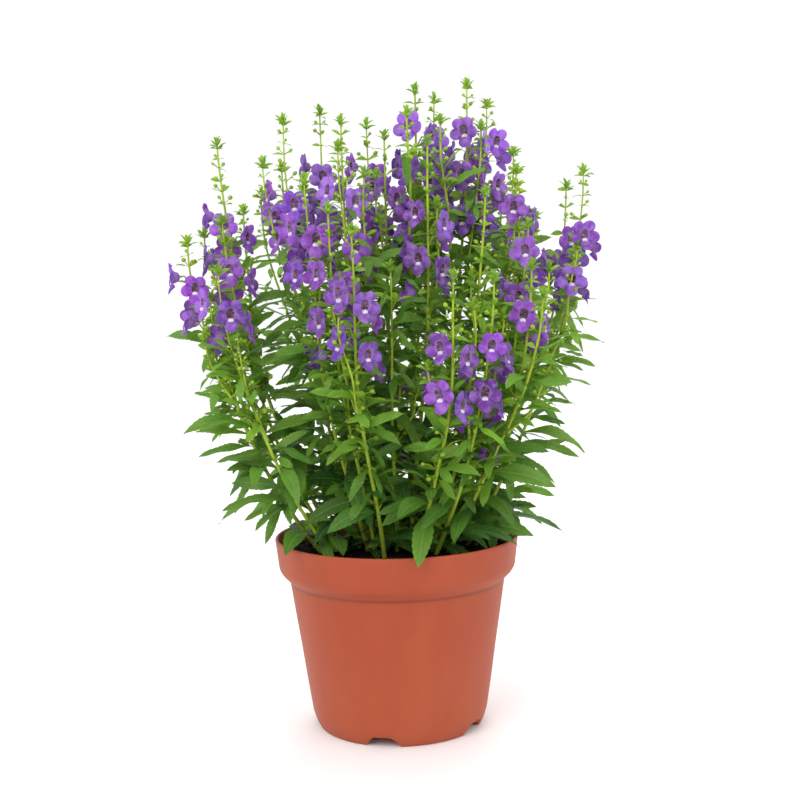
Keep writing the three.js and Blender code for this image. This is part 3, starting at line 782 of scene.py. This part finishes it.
# The throat's rings: share of its radius, depth, how far the streaks show and how pale it is.
THROAT_RINGS = (
    (0.1, -2.9, 0.1, 0), (0.4, -2.8, 0.4, 0), (0.68, -2.4, 0.8, 0), (0.86, -1.8, 1, 0),
    (0.96, -1.2, 0.6, 0.25), (1.0, -0.8, 0.4, 0.65),
)
PETAL_RINGS = (0.08, 0.24, 0.44, 0.64, 0.82, 0.93, 1.0)


def flower_colour():
    violet = mix(VIOLET, LIGHT_VIOLET, chance.uniform(0, 1.25) ** 1.5)
    violet = mix(violet, MAGENTA, chance.uniform(0, 0.9))
    return violet * chance.uniform(0.5, 1.25)


def ring_spots(share, kind):
    return np.stack(np.broadcast_arrays(ANGLES, share, kind), axis=1)


def grow_flower(shape, flower):
    flower.size *= chance.uniform(0.87, 1.0)
    violet = flower_colour()
    phase = chance.uniform(0, 6.3)
    tilts = chance.normal(0, 0.45, 5)[LOBE]
    tones = chance.uniform(0.86, 1.14, 5)[LOBE][:, None]
    radii, heights, paints, spots = [], [], [], []
    streaks = (chance.random(len(ANGLES)) < 0.35) * chance.uniform(0.2, 0.9, len(ANGLES))
    for share, depth, streaked, pale in THROAT_RINGS:
        radii.append(THROAT * share)
        heights.append(np.full(len(ANGLES), depth))
        paints.append(mix(mix(MAROON, STREAK, (streaks * streaked)[:, None]), PALE, pale))
        spots.append(ring_spots(share - 1, THROAT_KIND))
    reach = REACH * chance.uniform(0.93, 1.04, 5)[LOBE]
    for share in PETAL_RINGS:
        radii.append(mix(THROAT, reach, share))
        ruffle = 0.3 * np.sin(ANGLES * 5 + phase) * share**2
        bulge = 0.8 * math.sin(math.pi * share) * (1 - abs(LOBE_SHARE) ** 2)
        recurved = 0.9 * abs(LOBE_SHARE) ** 3 * share**2
        heights.append(mix(-0.7, FORWARD + tilts, share) + bulge - recurved + ruffle)
        # Painted shade and highlight: each lobe is darker at its sides, in the crease where it meets the
        # next, and lighter towards its rim.
        tone = mix(violet * 1.3, violet, min(share * 1.6, 1)) * mix(1, 0.72, abs(LOBE_SHARE) ** 6)[:, None]
        tone = mix(tone, PALE, max(0.0, 0.3 - share * 3))
        paints.append(tone * tones * mix(1, 1.18, share**3))
        spots.append(ring_spots(share, PETAL_KIND))
    radii, heights = np.array(radii) * flower.size, np.array(heights)
    add_rings(shape, flower, ANGLES, radii, heights, np.array(paints), np.array(spots))
    grow_tube(shape, flower, violet)
    grow_tooth(shape, flower)


def add_rings(shape, flower, angles, radii, heights, paints, spots=(0.0, 0.0, PETAL_KIND)):
    across = (radii * np.sin(angles))[:, :, None] * flower.side
    up = (radii * np.cos(angles))[:, :, None] * flower.rise
    points = flower.centre + across + up + heights[:, :, None] * flower.out
    paints = np.broadcast_to(paints, points.shape).reshape(-1, 3)
    spots = np.broadcast_to(spots, points.shape).reshape(-1, 3)
    shape.add(points, grid_faces(len(radii), radii.shape[1], closed=True), paints, spots)


def grow_tube(shape, flower, violet):
    """The outside of the throat, behind the petals."""
    angles = round_steps(10)
    rows = np.array([[0.9, -CALYX.depth], [2.1, -4.2], [2.9, -2.6], [3.3, -1.1]])
    radii = np.repeat(rows[:, :1], 10, axis=1)
    heights = np.repeat(rows[:, 1:], 10, axis=1)
    add_rings(shape, flower, angles, radii, heights, mix(violet, PALE, 0.35))


def grow_tooth(shape, flower):
    """The white swelling at the lower edge of the throat."""
    angles = round_steps(10)
    lift = np.linspace(0.08, math.pi / 2, 5)
    cleft = 1 - 0.45 * np.exp(-((np.sin(angles) / 0.4) ** 2)) * (np.cos(angles) < 0)
    across = 1.8 * np.sin(lift)[:, None] * np.sin(angles) * cleft
    up = -3.2 + 1.35 * np.sin(lift)[:, None] * np.cos(angles) * cleft
    radii, turns = np.hypot(across, up) * flower.size, np.arctan2(across, up)
    heights = -1.0 + 1.5 * np.cos(lift)[:, None] + np.zeros(10)
    add_rings(shape, flower, turns, radii, heights, WHITE, (0.0, 0.0, TOOTH_KIND))


# Pot and soil

# The height of the foot ring's openings, where the ring starts, the tiny rings that stand for the axis, and
# how near points are joined there, in metres.
NOTCH_TALL = 5.2
FOOT_INSIDE = 40.5
AXIS_RING = 0.05
JOIN_WITHIN = 0.00013
# Where the soil ends, how far from there it reaches its full height, and its sides and bottom.
SOIL_EDGE = 61.6
SOIL_FALL = 15.0
UNDER_SOIL = ((61.2, 87), (55.4, 78), (45.2, 8), (44, 6.2), (AXIS_RING, 6.0))
POT_PROFILE = (
    (0.0, 4.0), (41.0, 4.0), (41.4, 3.6), (41.4, 0.5), (41.9, 0.0), (43.3, 0.0), (44.0, 0.4), (45.6, 3.6),
    (46.4, 6.0), (47.2, 9.0), (49.8, 26.0), (52.2, 43.0), (54.8, 60.0), (57.1, 75.5), (57.5, 78.0),
    (57.9, 79.2), (58.8, 80.4), (60.5, 82.1), (61.8, 83.5), (62.7, 85.0), (63.2, 86.4), (63.4, 88.0),
    (64.2, 95.0), (64.8, 100.0), (64.95, 101.2), (64.6, 101.8), (64.0, 102.0), (63.7, 101.9), (63.4, 101.5),
    (63.2, 100.5), (62.5, 94.0), (61.7, 87.0), (57.6, 81.0), (55.9, 78.0), (45.6, 8.0), (44.5, 5.9),
    (0.0, 5.7),
)


def notch_height(turn):
    """The height of the opening under the foot ring at an angle, a little taller than the solid's."""
    step = 360 / NOTCH.count
    off = abs((math.degrees(turn) - NOTCH.first + step / 2) % step - step / 2)
    aside = math.radians(off) * POT.foot_radius
    flank = (NOTCH.width / 2 - aside) / ((NOTCH.width - NOTCH.crown) / 2)
    share = min(max(flank, 0), 1)
    return NOTCH_TALL * share * share * (3 - 2 * share)


def pot_shape():
    shape = Shape()
    turns = round_steps(240)
    cut = np.array([notch_height(turn) for turn in turns])
    rows = []
    for radius, z in POT_PROFILE:
        radius = max(radius, AXIS_RING)
        height = np.maximum(z, cut) if z < NOTCH_TALL and radius > FOOT_INSIDE else np.full(len(turns), z)
        rows.append(np.stack([radius * np.cos(turns), radius * np.sin(turns), height], axis=1))
    spots = [np.full((len(turns), 3), (z / POT.height, radius, 0)) for radius, z in POT_PROFILE]
    shape.add(rows, grid_faces(len(rows), len(turns), closed=True), (1, 1, 1), np.concatenate(spots))
    return shape


def close_axis(piece):
    """Draws the tiny rings at a turned piece's axis together into points."""
    shell = bmesh.new()
    shell.from_mesh(piece.data)
    bmesh.ops.remove_doubles(shell, verts=shell.verts, dist=JOIN_WITHIN)
    shell.to_mesh(piece.data)
    shell.free()


def drill_drains(pot):
    """Cuts the drain holes through the pot's floor."""
    bits = bmesh.new()
    radius = DRAIN.radius / 1000
    for turn in round_steps(NOTCH.count):
        place = Matrix.Translation((around(turn, DRAIN.from_axis, 5) / 1000).tolist())
        bmesh.ops.create_cone(
            bits, cap_ends=True, segments=40, radius1=radius, radius2=radius, depth=0.008, matrix=place,
        )
    mesh = bpy.data.meshes.new("bits")
    bits.to_mesh(mesh)
    bits.free()
    cutter = add_object("bits", mesh)
    cut = pot.modifiers.new("drains", "BOOLEAN")
    cut.operation, cut.solver, cut.object = "DIFFERENCE", "EXACT", cutter
    bpy.context.view_layer.update()
    drilled = bpy.data.meshes.new_from_object(pot.evaluated_get(bpy.context.evaluated_depsgraph_get()))
    pot.modifiers.remove(cut)
    pot.data = drilled
    pot.data.set_sharp_from_angle(angle=math.radians(38))
    bpy.data.objects.remove(cutter)


def rough(points, size):
    """A repeatable uneven height for points, from a few crossed waves."""
    x, y = points[..., 0] / size, points[..., 1] / size
    return (
        np.sin(x * 1.7 + 1.3 * np.sin(y * 1.1)) + np.sin(y * 2.3 + 1.7 * np.sin(x * 1.9 + 2))
        + 0.6 * np.sin(x * 4.1 + y * 3.7) + 0.5 * np.sin(x * 7.3 - y * 6.1)
    ) / 3.1


def soil_height(radius):
    return SOIL.top + SOIL.crown * np.clip((SOIL_EDGE - radius) / SOIL_FALL, 0, 1)


def soil_shape():
    shape = Shape()
    turns = round_steps(160)
    radii = np.linspace(AXIS_RING, SOIL_EDGE, 62)[:, None]
    grains = chance.normal(0, 0.22, (len(radii), len(turns)))
    top = np.stack([radii * np.cos(turns), radii * np.sin(turns), np.zeros_like(grains)], axis=-1)
    top[..., 2] = soil_height(radii) + 0.9 * rough(top, 5) + 0.6 * rough(top, 1.7) + grains
    low = np.array([[around(turn, radius, z) for turn in turns] for radius, z in UNDER_SOIL])
    rings = np.concatenate([top, low])
    shape.add(rings, grid_faces(len(rings), len(turns), closed=True), srgb(34, 27, 22))
    for _ in range(420):
        grow_crumb(shape)
    return shape


def grow_crumb(shape):
    radius = 61 * math.sqrt(chance.random())
    turn = chance.uniform(0, 2 * math.pi)
    size = chance.uniform(0.5, 1.6)
    light = chance.random() < 0.04
    tone = srgb(150, 140, 70) if light else srgb(40, 31, 24) * chance.uniform(0.5, 1.8)
    centre = around(turn, min(radius, 60), soil_height(radius) + 0.3)
    ball(shape, centre, chance.normal(0, 1, 3), size, tone, stretch=chance.uniform(0.5, 1.3), rows=4, sides=5)


# Materials

# The height of the painted shade along the crease under the pot's collar, in metres.
CREASE_SHADE_HEIGHT = 0.0788


def new_material(name):
    material = bpy.data.materials.new(name)
    material.use_nodes = True
    graph = material.node_tree
    return material, graph, graph.nodes["Principled BSDF"]


def settle(node, **values):
    """Sets a node's own inputs by name."""
    for key, value in values.items():
        node.inputs[key.replace("_", " ")].default_value = value


def read_paint(graph, name, output):
    made = graph.nodes.new("ShaderNodeAttribute")
    made.attribute_name = name
    return made.outputs[output]


def object_place(graph):
    return graph.nodes.new("ShaderNodeTexCoord").outputs["Object"]


def split(graph, vector):
    """The three numbers of a vector."""
    made = graph.nodes.new("ShaderNodeSeparateXYZ")
    graph.links.new(vector, made.inputs[0])
    return made.outputs


def maths(graph, operation, *values):
    made = graph.nodes.new("ShaderNodeMath")
    made.operation = operation
    connect(graph, zip(values, made.inputs))
    return made.outputs[0]


def connect(graph, pairs):
    """Sets each socket to its value, or links it to that where it is another node's output."""
    for value, socket in pairs:
        if isinstance(value, (int, float, tuple)):
            socket.default_value = value
        else:
            graph.links.new(value, socket)


def ranged(graph, value, low, high, start, end, smooth=False):
    made = graph.nodes.new("ShaderNodeMapRange")
    made.interpolation_type = "SMOOTHSTEP" if smooth else "LINEAR"
    graph.links.new(value, made.inputs["Value"])
    settle(made, From_Min=low, From_Max=high, To_Min=start, To_Max=end)
    return made.outputs[0]


def noise(graph, scale, detail=3.0, roughness=0.55, stretch=None):
    place = object_place(graph)
    if stretch:
        mapping = graph.nodes.new("ShaderNodeMapping")
        settle(mapping, Scale=stretch)
        graph.links.new(place, mapping.inputs["Vector"])
        place = mapping.outputs["Vector"]
    made = graph.nodes.new("ShaderNodeTexNoise")
    settle(made, Scale=scale, Detail=detail, Roughness=roughness)
    graph.links.new(place, made.inputs["Vector"])
    return made.outputs["Fac"]


def blended(graph, share, first, second):
    made = graph.nodes.new("ShaderNodeMix")
    made.data_type = "RGBA"
    connect(graph, ((share, made.inputs[0]), (first, made.inputs[6]), (second, made.inputs[7])))
    return made.outputs[2]


def bumped(graph, height, distance):
    made = graph.nodes.new("ShaderNodeBump")
    settle(made, Strength=1.0, Distance=distance)
    graph.links.new(height, made.inputs["Height"])
    return made.outputs["Normal"]


def let_light_through(graph, surface, colour, share):
    """Mixes the surface with the light that a thin leaf or petal lets through."""
    through = graph.nodes.new("ShaderNodeBsdfTranslucent")
    graph.links.new(colour, through.inputs["Color"])
    both = graph.nodes.new("ShaderNodeMixShader")
    connect(graph, zip((share, surface.outputs[0], through.outputs[0]), both.inputs))
    graph.links.new(both.outputs[0], graph.nodes["Material Output"].inputs["Surface"])


def leaf_material():
    material, graph, surface = new_material("angelonia_green")
    paint = read_paint(graph, "paint", "Color")
    along, across, is_leaf = split(graph, read_paint(graph, "spot", "Vector"))
    beside = maths(graph, "ABSOLUTE", across)
    rib = ranged(graph, beside, 0.03, 0.11, 1.0, 0.0, smooth=True)
    rib = maths(graph, "MULTIPLY", rib, is_leaf)
    climb = maths(graph, "SUBTRACT", maths(graph, "MULTIPLY", along, 11.0), beside)
    wave = maths(graph, "ABSOLUTE", maths(graph, "SUBTRACT", maths(graph, "FRACT", climb), 0.5))
    veins = maths(graph, "MULTIPLY", ranged(graph, wave, 0.0, 0.11, 1.0, 0.0, smooth=True), is_leaf)
    patches = noise(graph, 90.0, 4.0)
    tone = blended(graph, ranged(graph, patches, 0.3, 0.7, 0.0, 0.35), paint, (0.02, 0.06, 0.01, 1))
    tone = blended(graph, maths(graph, "MULTIPLY", veins, 0.14), tone, (0.25, 0.42, 0.12, 1))
    tone = blended(graph, maths(graph, "MULTIPLY", rib, 0.5), tone, (0.3, 0.46, 0.14, 1))
    graph.links.new(tone, surface.inputs["Base Color"])
    fine = noise(graph, 1400.0, 2.0)
    height = maths(graph, "SUBTRACT", fine, maths(graph, "MULTIPLY", veins, 0.6))
    height = maths(graph, "SUBTRACT", height, maths(graph, "MULTIPLY", rib, 0.5))
    graph.links.new(bumped(graph, height, 0.0003), surface.inputs["Normal"])
    graph.links.new(ranged(graph, patches, 0.3, 0.7, 0.36, 0.52), surface.inputs["Roughness"])
    settle(surface, Specular_IOR_Level=0.5)
    let_light_through(graph, surface, tone, 0.3)
    return material


def petal_material():
    material, graph, surface = new_material("angelonia_petal")
    paint = read_paint(graph, "paint", "Color")
    angle, _, kind = split(graph, read_paint(graph, "spot", "Vector"))
    is_petal = maths(graph, "COMPARE", kind, PETAL_KIND, 0.3)
    is_throat = maths(graph, "COMPARE", kind, THROAT_KIND, 0.3)
    rays = maths(graph, "SINE", maths(graph, "MULTIPLY", angle, 36.0))
    rays = maths(graph, "MULTIPLY", ranged(graph, rays, 0.2, 1.0, 0.0, 0.3), is_petal)
    # Pale patches, partly the petals' own mottling and partly painted sheen.
    mottle_and_sheen = noise(graph, 330.0, 4.0)
    tone = blended(graph, rays, paint, (0.1, 0.02, 0.3, 1))
    tone = blended(graph, ranged(graph, mottle_and_sheen, 0.42, 0.66, 0.0, 0.5), tone, (0.46, 0.26, 0.72, 1))
    speckle = noise(graph, 1900.0, 2.0)
    speckle = ranged(graph, speckle, 0.56, 0.64, 0.0, 0.6)
    tone = blended(graph, maths(graph, "MULTIPLY", speckle, is_throat), tone, (0.45, 0.22, 0.34, 1))
    graph.links.new(tone, surface.inputs["Base Color"])
    height = maths(graph, "ADD", maths(graph, "MULTIPLY", rays, -1.0), mottle_and_sheen)
    graph.links.new(bumped(graph, height, 0.00012), surface.inputs["Normal"])
    settle(surface, Roughness=0.62, Sheen_Weight=0.25, Sheen_Roughness=0.4, Sheen_Tint=(0.75, 0.6, 1.0, 1.0))
    let_light_through(graph, surface, tone, 0.25)
    return material


def pot_material():
    material, graph, surface = new_material("terracotta_plastic")
    broad = noise(graph, 14.0, 3.0)
    streak = noise(graph, 60.0, 3.0, 0.6, stretch=(1.0, 1.0, 0.06))
    above = split(graph, object_place(graph))[2]
    low = ranged(graph, above, 0.0, 0.06, 1.0, 0.0)
    red, pale, dark = (tuple([*srgb(*c), 1.0]) for c in ((160, 68, 38), (177, 91, 61), (142, 58, 33)))
    tone = blended(graph, ranged(graph, broad, 0.35, 0.65, 0.0, 0.35), red, pale)
    tone = blended(graph, ranged(graph, streak, 0.4, 0.75, 0.0, 0.28), tone, dark)
    tone = blended(graph, maths(graph, "MULTIPLY", low, 0.2), tone, pale)
    # Painted shade: a thin dark band along the crease under the collar.
    crease_shade = maths(graph, "ABSOLUTE", maths(graph, "SUBTRACT", above, CREASE_SHADE_HEIGHT))
    crease_shade = ranged(graph, crease_shade, 0.0, 0.0016, 0.55, 0.0, smooth=True)
    tone = blended(graph, crease_shade, tone, (0.12, 0.03, 0.02, 1.0))
    graph.links.new(tone, surface.inputs["Base Color"])
    grain = noise(graph, 900.0, 2.0)
    height = maths(graph, "ADD", maths(graph, "MULTIPLY", streak, 0.6), grain)
    graph.links.new(bumped(graph, height, 0.00008), surface.inputs["Normal"])
    graph.links.new(ranged(graph, broad, 0.3, 0.7, 0.46, 0.58), surface.inputs["Roughness"])
    settle(surface, Specular_IOR_Level=0.28)
    return material


def soil_material():
    material, graph, surface = new_material("potting_soil")
    paint = read_paint(graph, "paint", "Color")
    grain = noise(graph, 420.0, 5.0, 0.7)
    tone = blended(graph, ranged(graph, grain, 0.35, 0.7, 0.75, 0.0), paint, (0.004, 0.003, 0.002, 1))
    graph.links.new(tone, surface.inputs["Base Color"])
    graph.links.new(bumped(graph, grain, 0.0012), surface.inputs["Normal"])
    settle(surface, Roughness=0.95, Specular_IOR_Level=0.15)
    return material


# The plant

green, petal = leaf_material(), petal_material()
stems = planned_stems()
slender = side_shoots(stems[:len(STEMS)])
standing_out = seen_leaves(stems)
lone = seen_flowers(stems)
for group in range(len(STEMS)):
    number = f"{group + 1:02d}"
    tree = corners_of(f"leafy_stem_{number}")
    leaves, blooms = Shape(), Shape()
    for stem in (stem for stem in stems if stem.group == group):
        grow_spike(leaves, stem)
        grow_leaves(leaves, stem, tree)
        for leaf in standing_out[stem.index]:
            tone = leaf_paint(leaf, chance.uniform(0.35, 0.85))
            blade(leaves, leaf, TOOTHED, leaf.length * 0.125, tone, fold=chance.uniform(0.1, 0.3), wave=0.4)
        grow_fill(leaves, stem)
        for flower in lone[stem.index]:
            grow_flower(blooms, flower)
            grow_stalk(leaves, stem, flower)
        if stem.flowers:
            grow_spent(leaves, stem)
            spike = corners_of(f"flower_spike_{number}")
            late = LATE_FLOWERS if stem.tip[1] > 0 and -28 < stem.tip[0] < 62 else 0
            for count in range(stem.flowers + late):
                solid = count < stem.flowers
                flower = solid_flower(stem, count, spike) if solid else flower_at(stem, count)
                if flower:
                    grow_flower(blooms, flower)
                    grow_stalk(leaves, stem, flower)
    for shoot in (shoot for shoot in slender if shoot.group == group):
        grow_spike(leaves, shoot)
        grow_fill(leaves, shoot)
    make_piece(f"greens_{number}", leaves, green, "leaf", f"leafy_stem_{number}")
    if blooms.count:
        make_piece(f"blooms_{number}", blooms, petal, "petal", f"flower_spike_{number}")
pot = make_piece("pot_shell", pot_shape(), pot_material(), "pot", "pot")
close_axis(pot)
drill_drains(pot)
close_axis(make_piece("soil_bed", soil_shape(), soil_material(), "soil", "soil"))


# Floor, light and camera

LIT_HEIGHT = 0.18


def add_floor():
    mesh = bpy.data.meshes.new("studio_floor")
    mesh.from_pydata([(-4, -4, 0), (4, -4, 0), (4, 4, 0), (-4, 4, 0)], [], [(0, 1, 2, 3)])
    material, _, surface = new_material("studio_floor")
    settle(surface, Base_Color=(0.97, 0.97, 0.97, 1), Roughness=0.8)
    mesh.materials.append(material)
    floor = add_object("studio_floor", mesh)


def turn_to(thing, right, up, back):
    """Turns a light or the camera to these axes."""
    thing.rotation_mode = "QUATERNION"
    thing.rotation_quaternion = Matrix(np.column_stack([right, up, back]).tolist()).to_quaternion()


def add_light(name, place, size, power):
    light = bpy.data.lights.new(name, "AREA")
    light.shape, light.size, light.energy = "DISK", size, power
    lamp = add_object(name, light)
    lamp.location = place
    back = -unit(UP * LIT_HEIGHT - np.array(place))
    right = unit(np.cross(UP, back))
    turn_to(lamp, right, np.cross(back, right), back)


def add_camera():
    right, up, ahead = camera_axes()
    camera = bpy.data.cameras.new("camera")
    camera.lens, camera.sensor_width = CAMERA.lens, CAMERA.sensor
    camera.clip_start = 0.01
    seat = add_object("camera", camera)
    turn_to(seat, right, up, -ahead)
    seat.location = [value / 1000 for value in CAMERA.place]
    bpy.context.scene.camera = seat


add_floor()
add_light("key", (-0.9, -1.5, 1.5), 1.4, 16)
add_light("fill", (1.5, -1.1, 0.8), 1.6, 6)
add_light("back", (0.2, 1.3, 1.3), 1.2, 8)
world = bpy.data.worlds.new("studio")
world.use_nodes = True
settle(world.node_tree.nodes["Background"], Color=(1, 1, 1, 1), Strength=1.04)
bpy.context.scene.world = world
bpy.context.scene.view_settings.view_transform = "Standard"
add_camera()
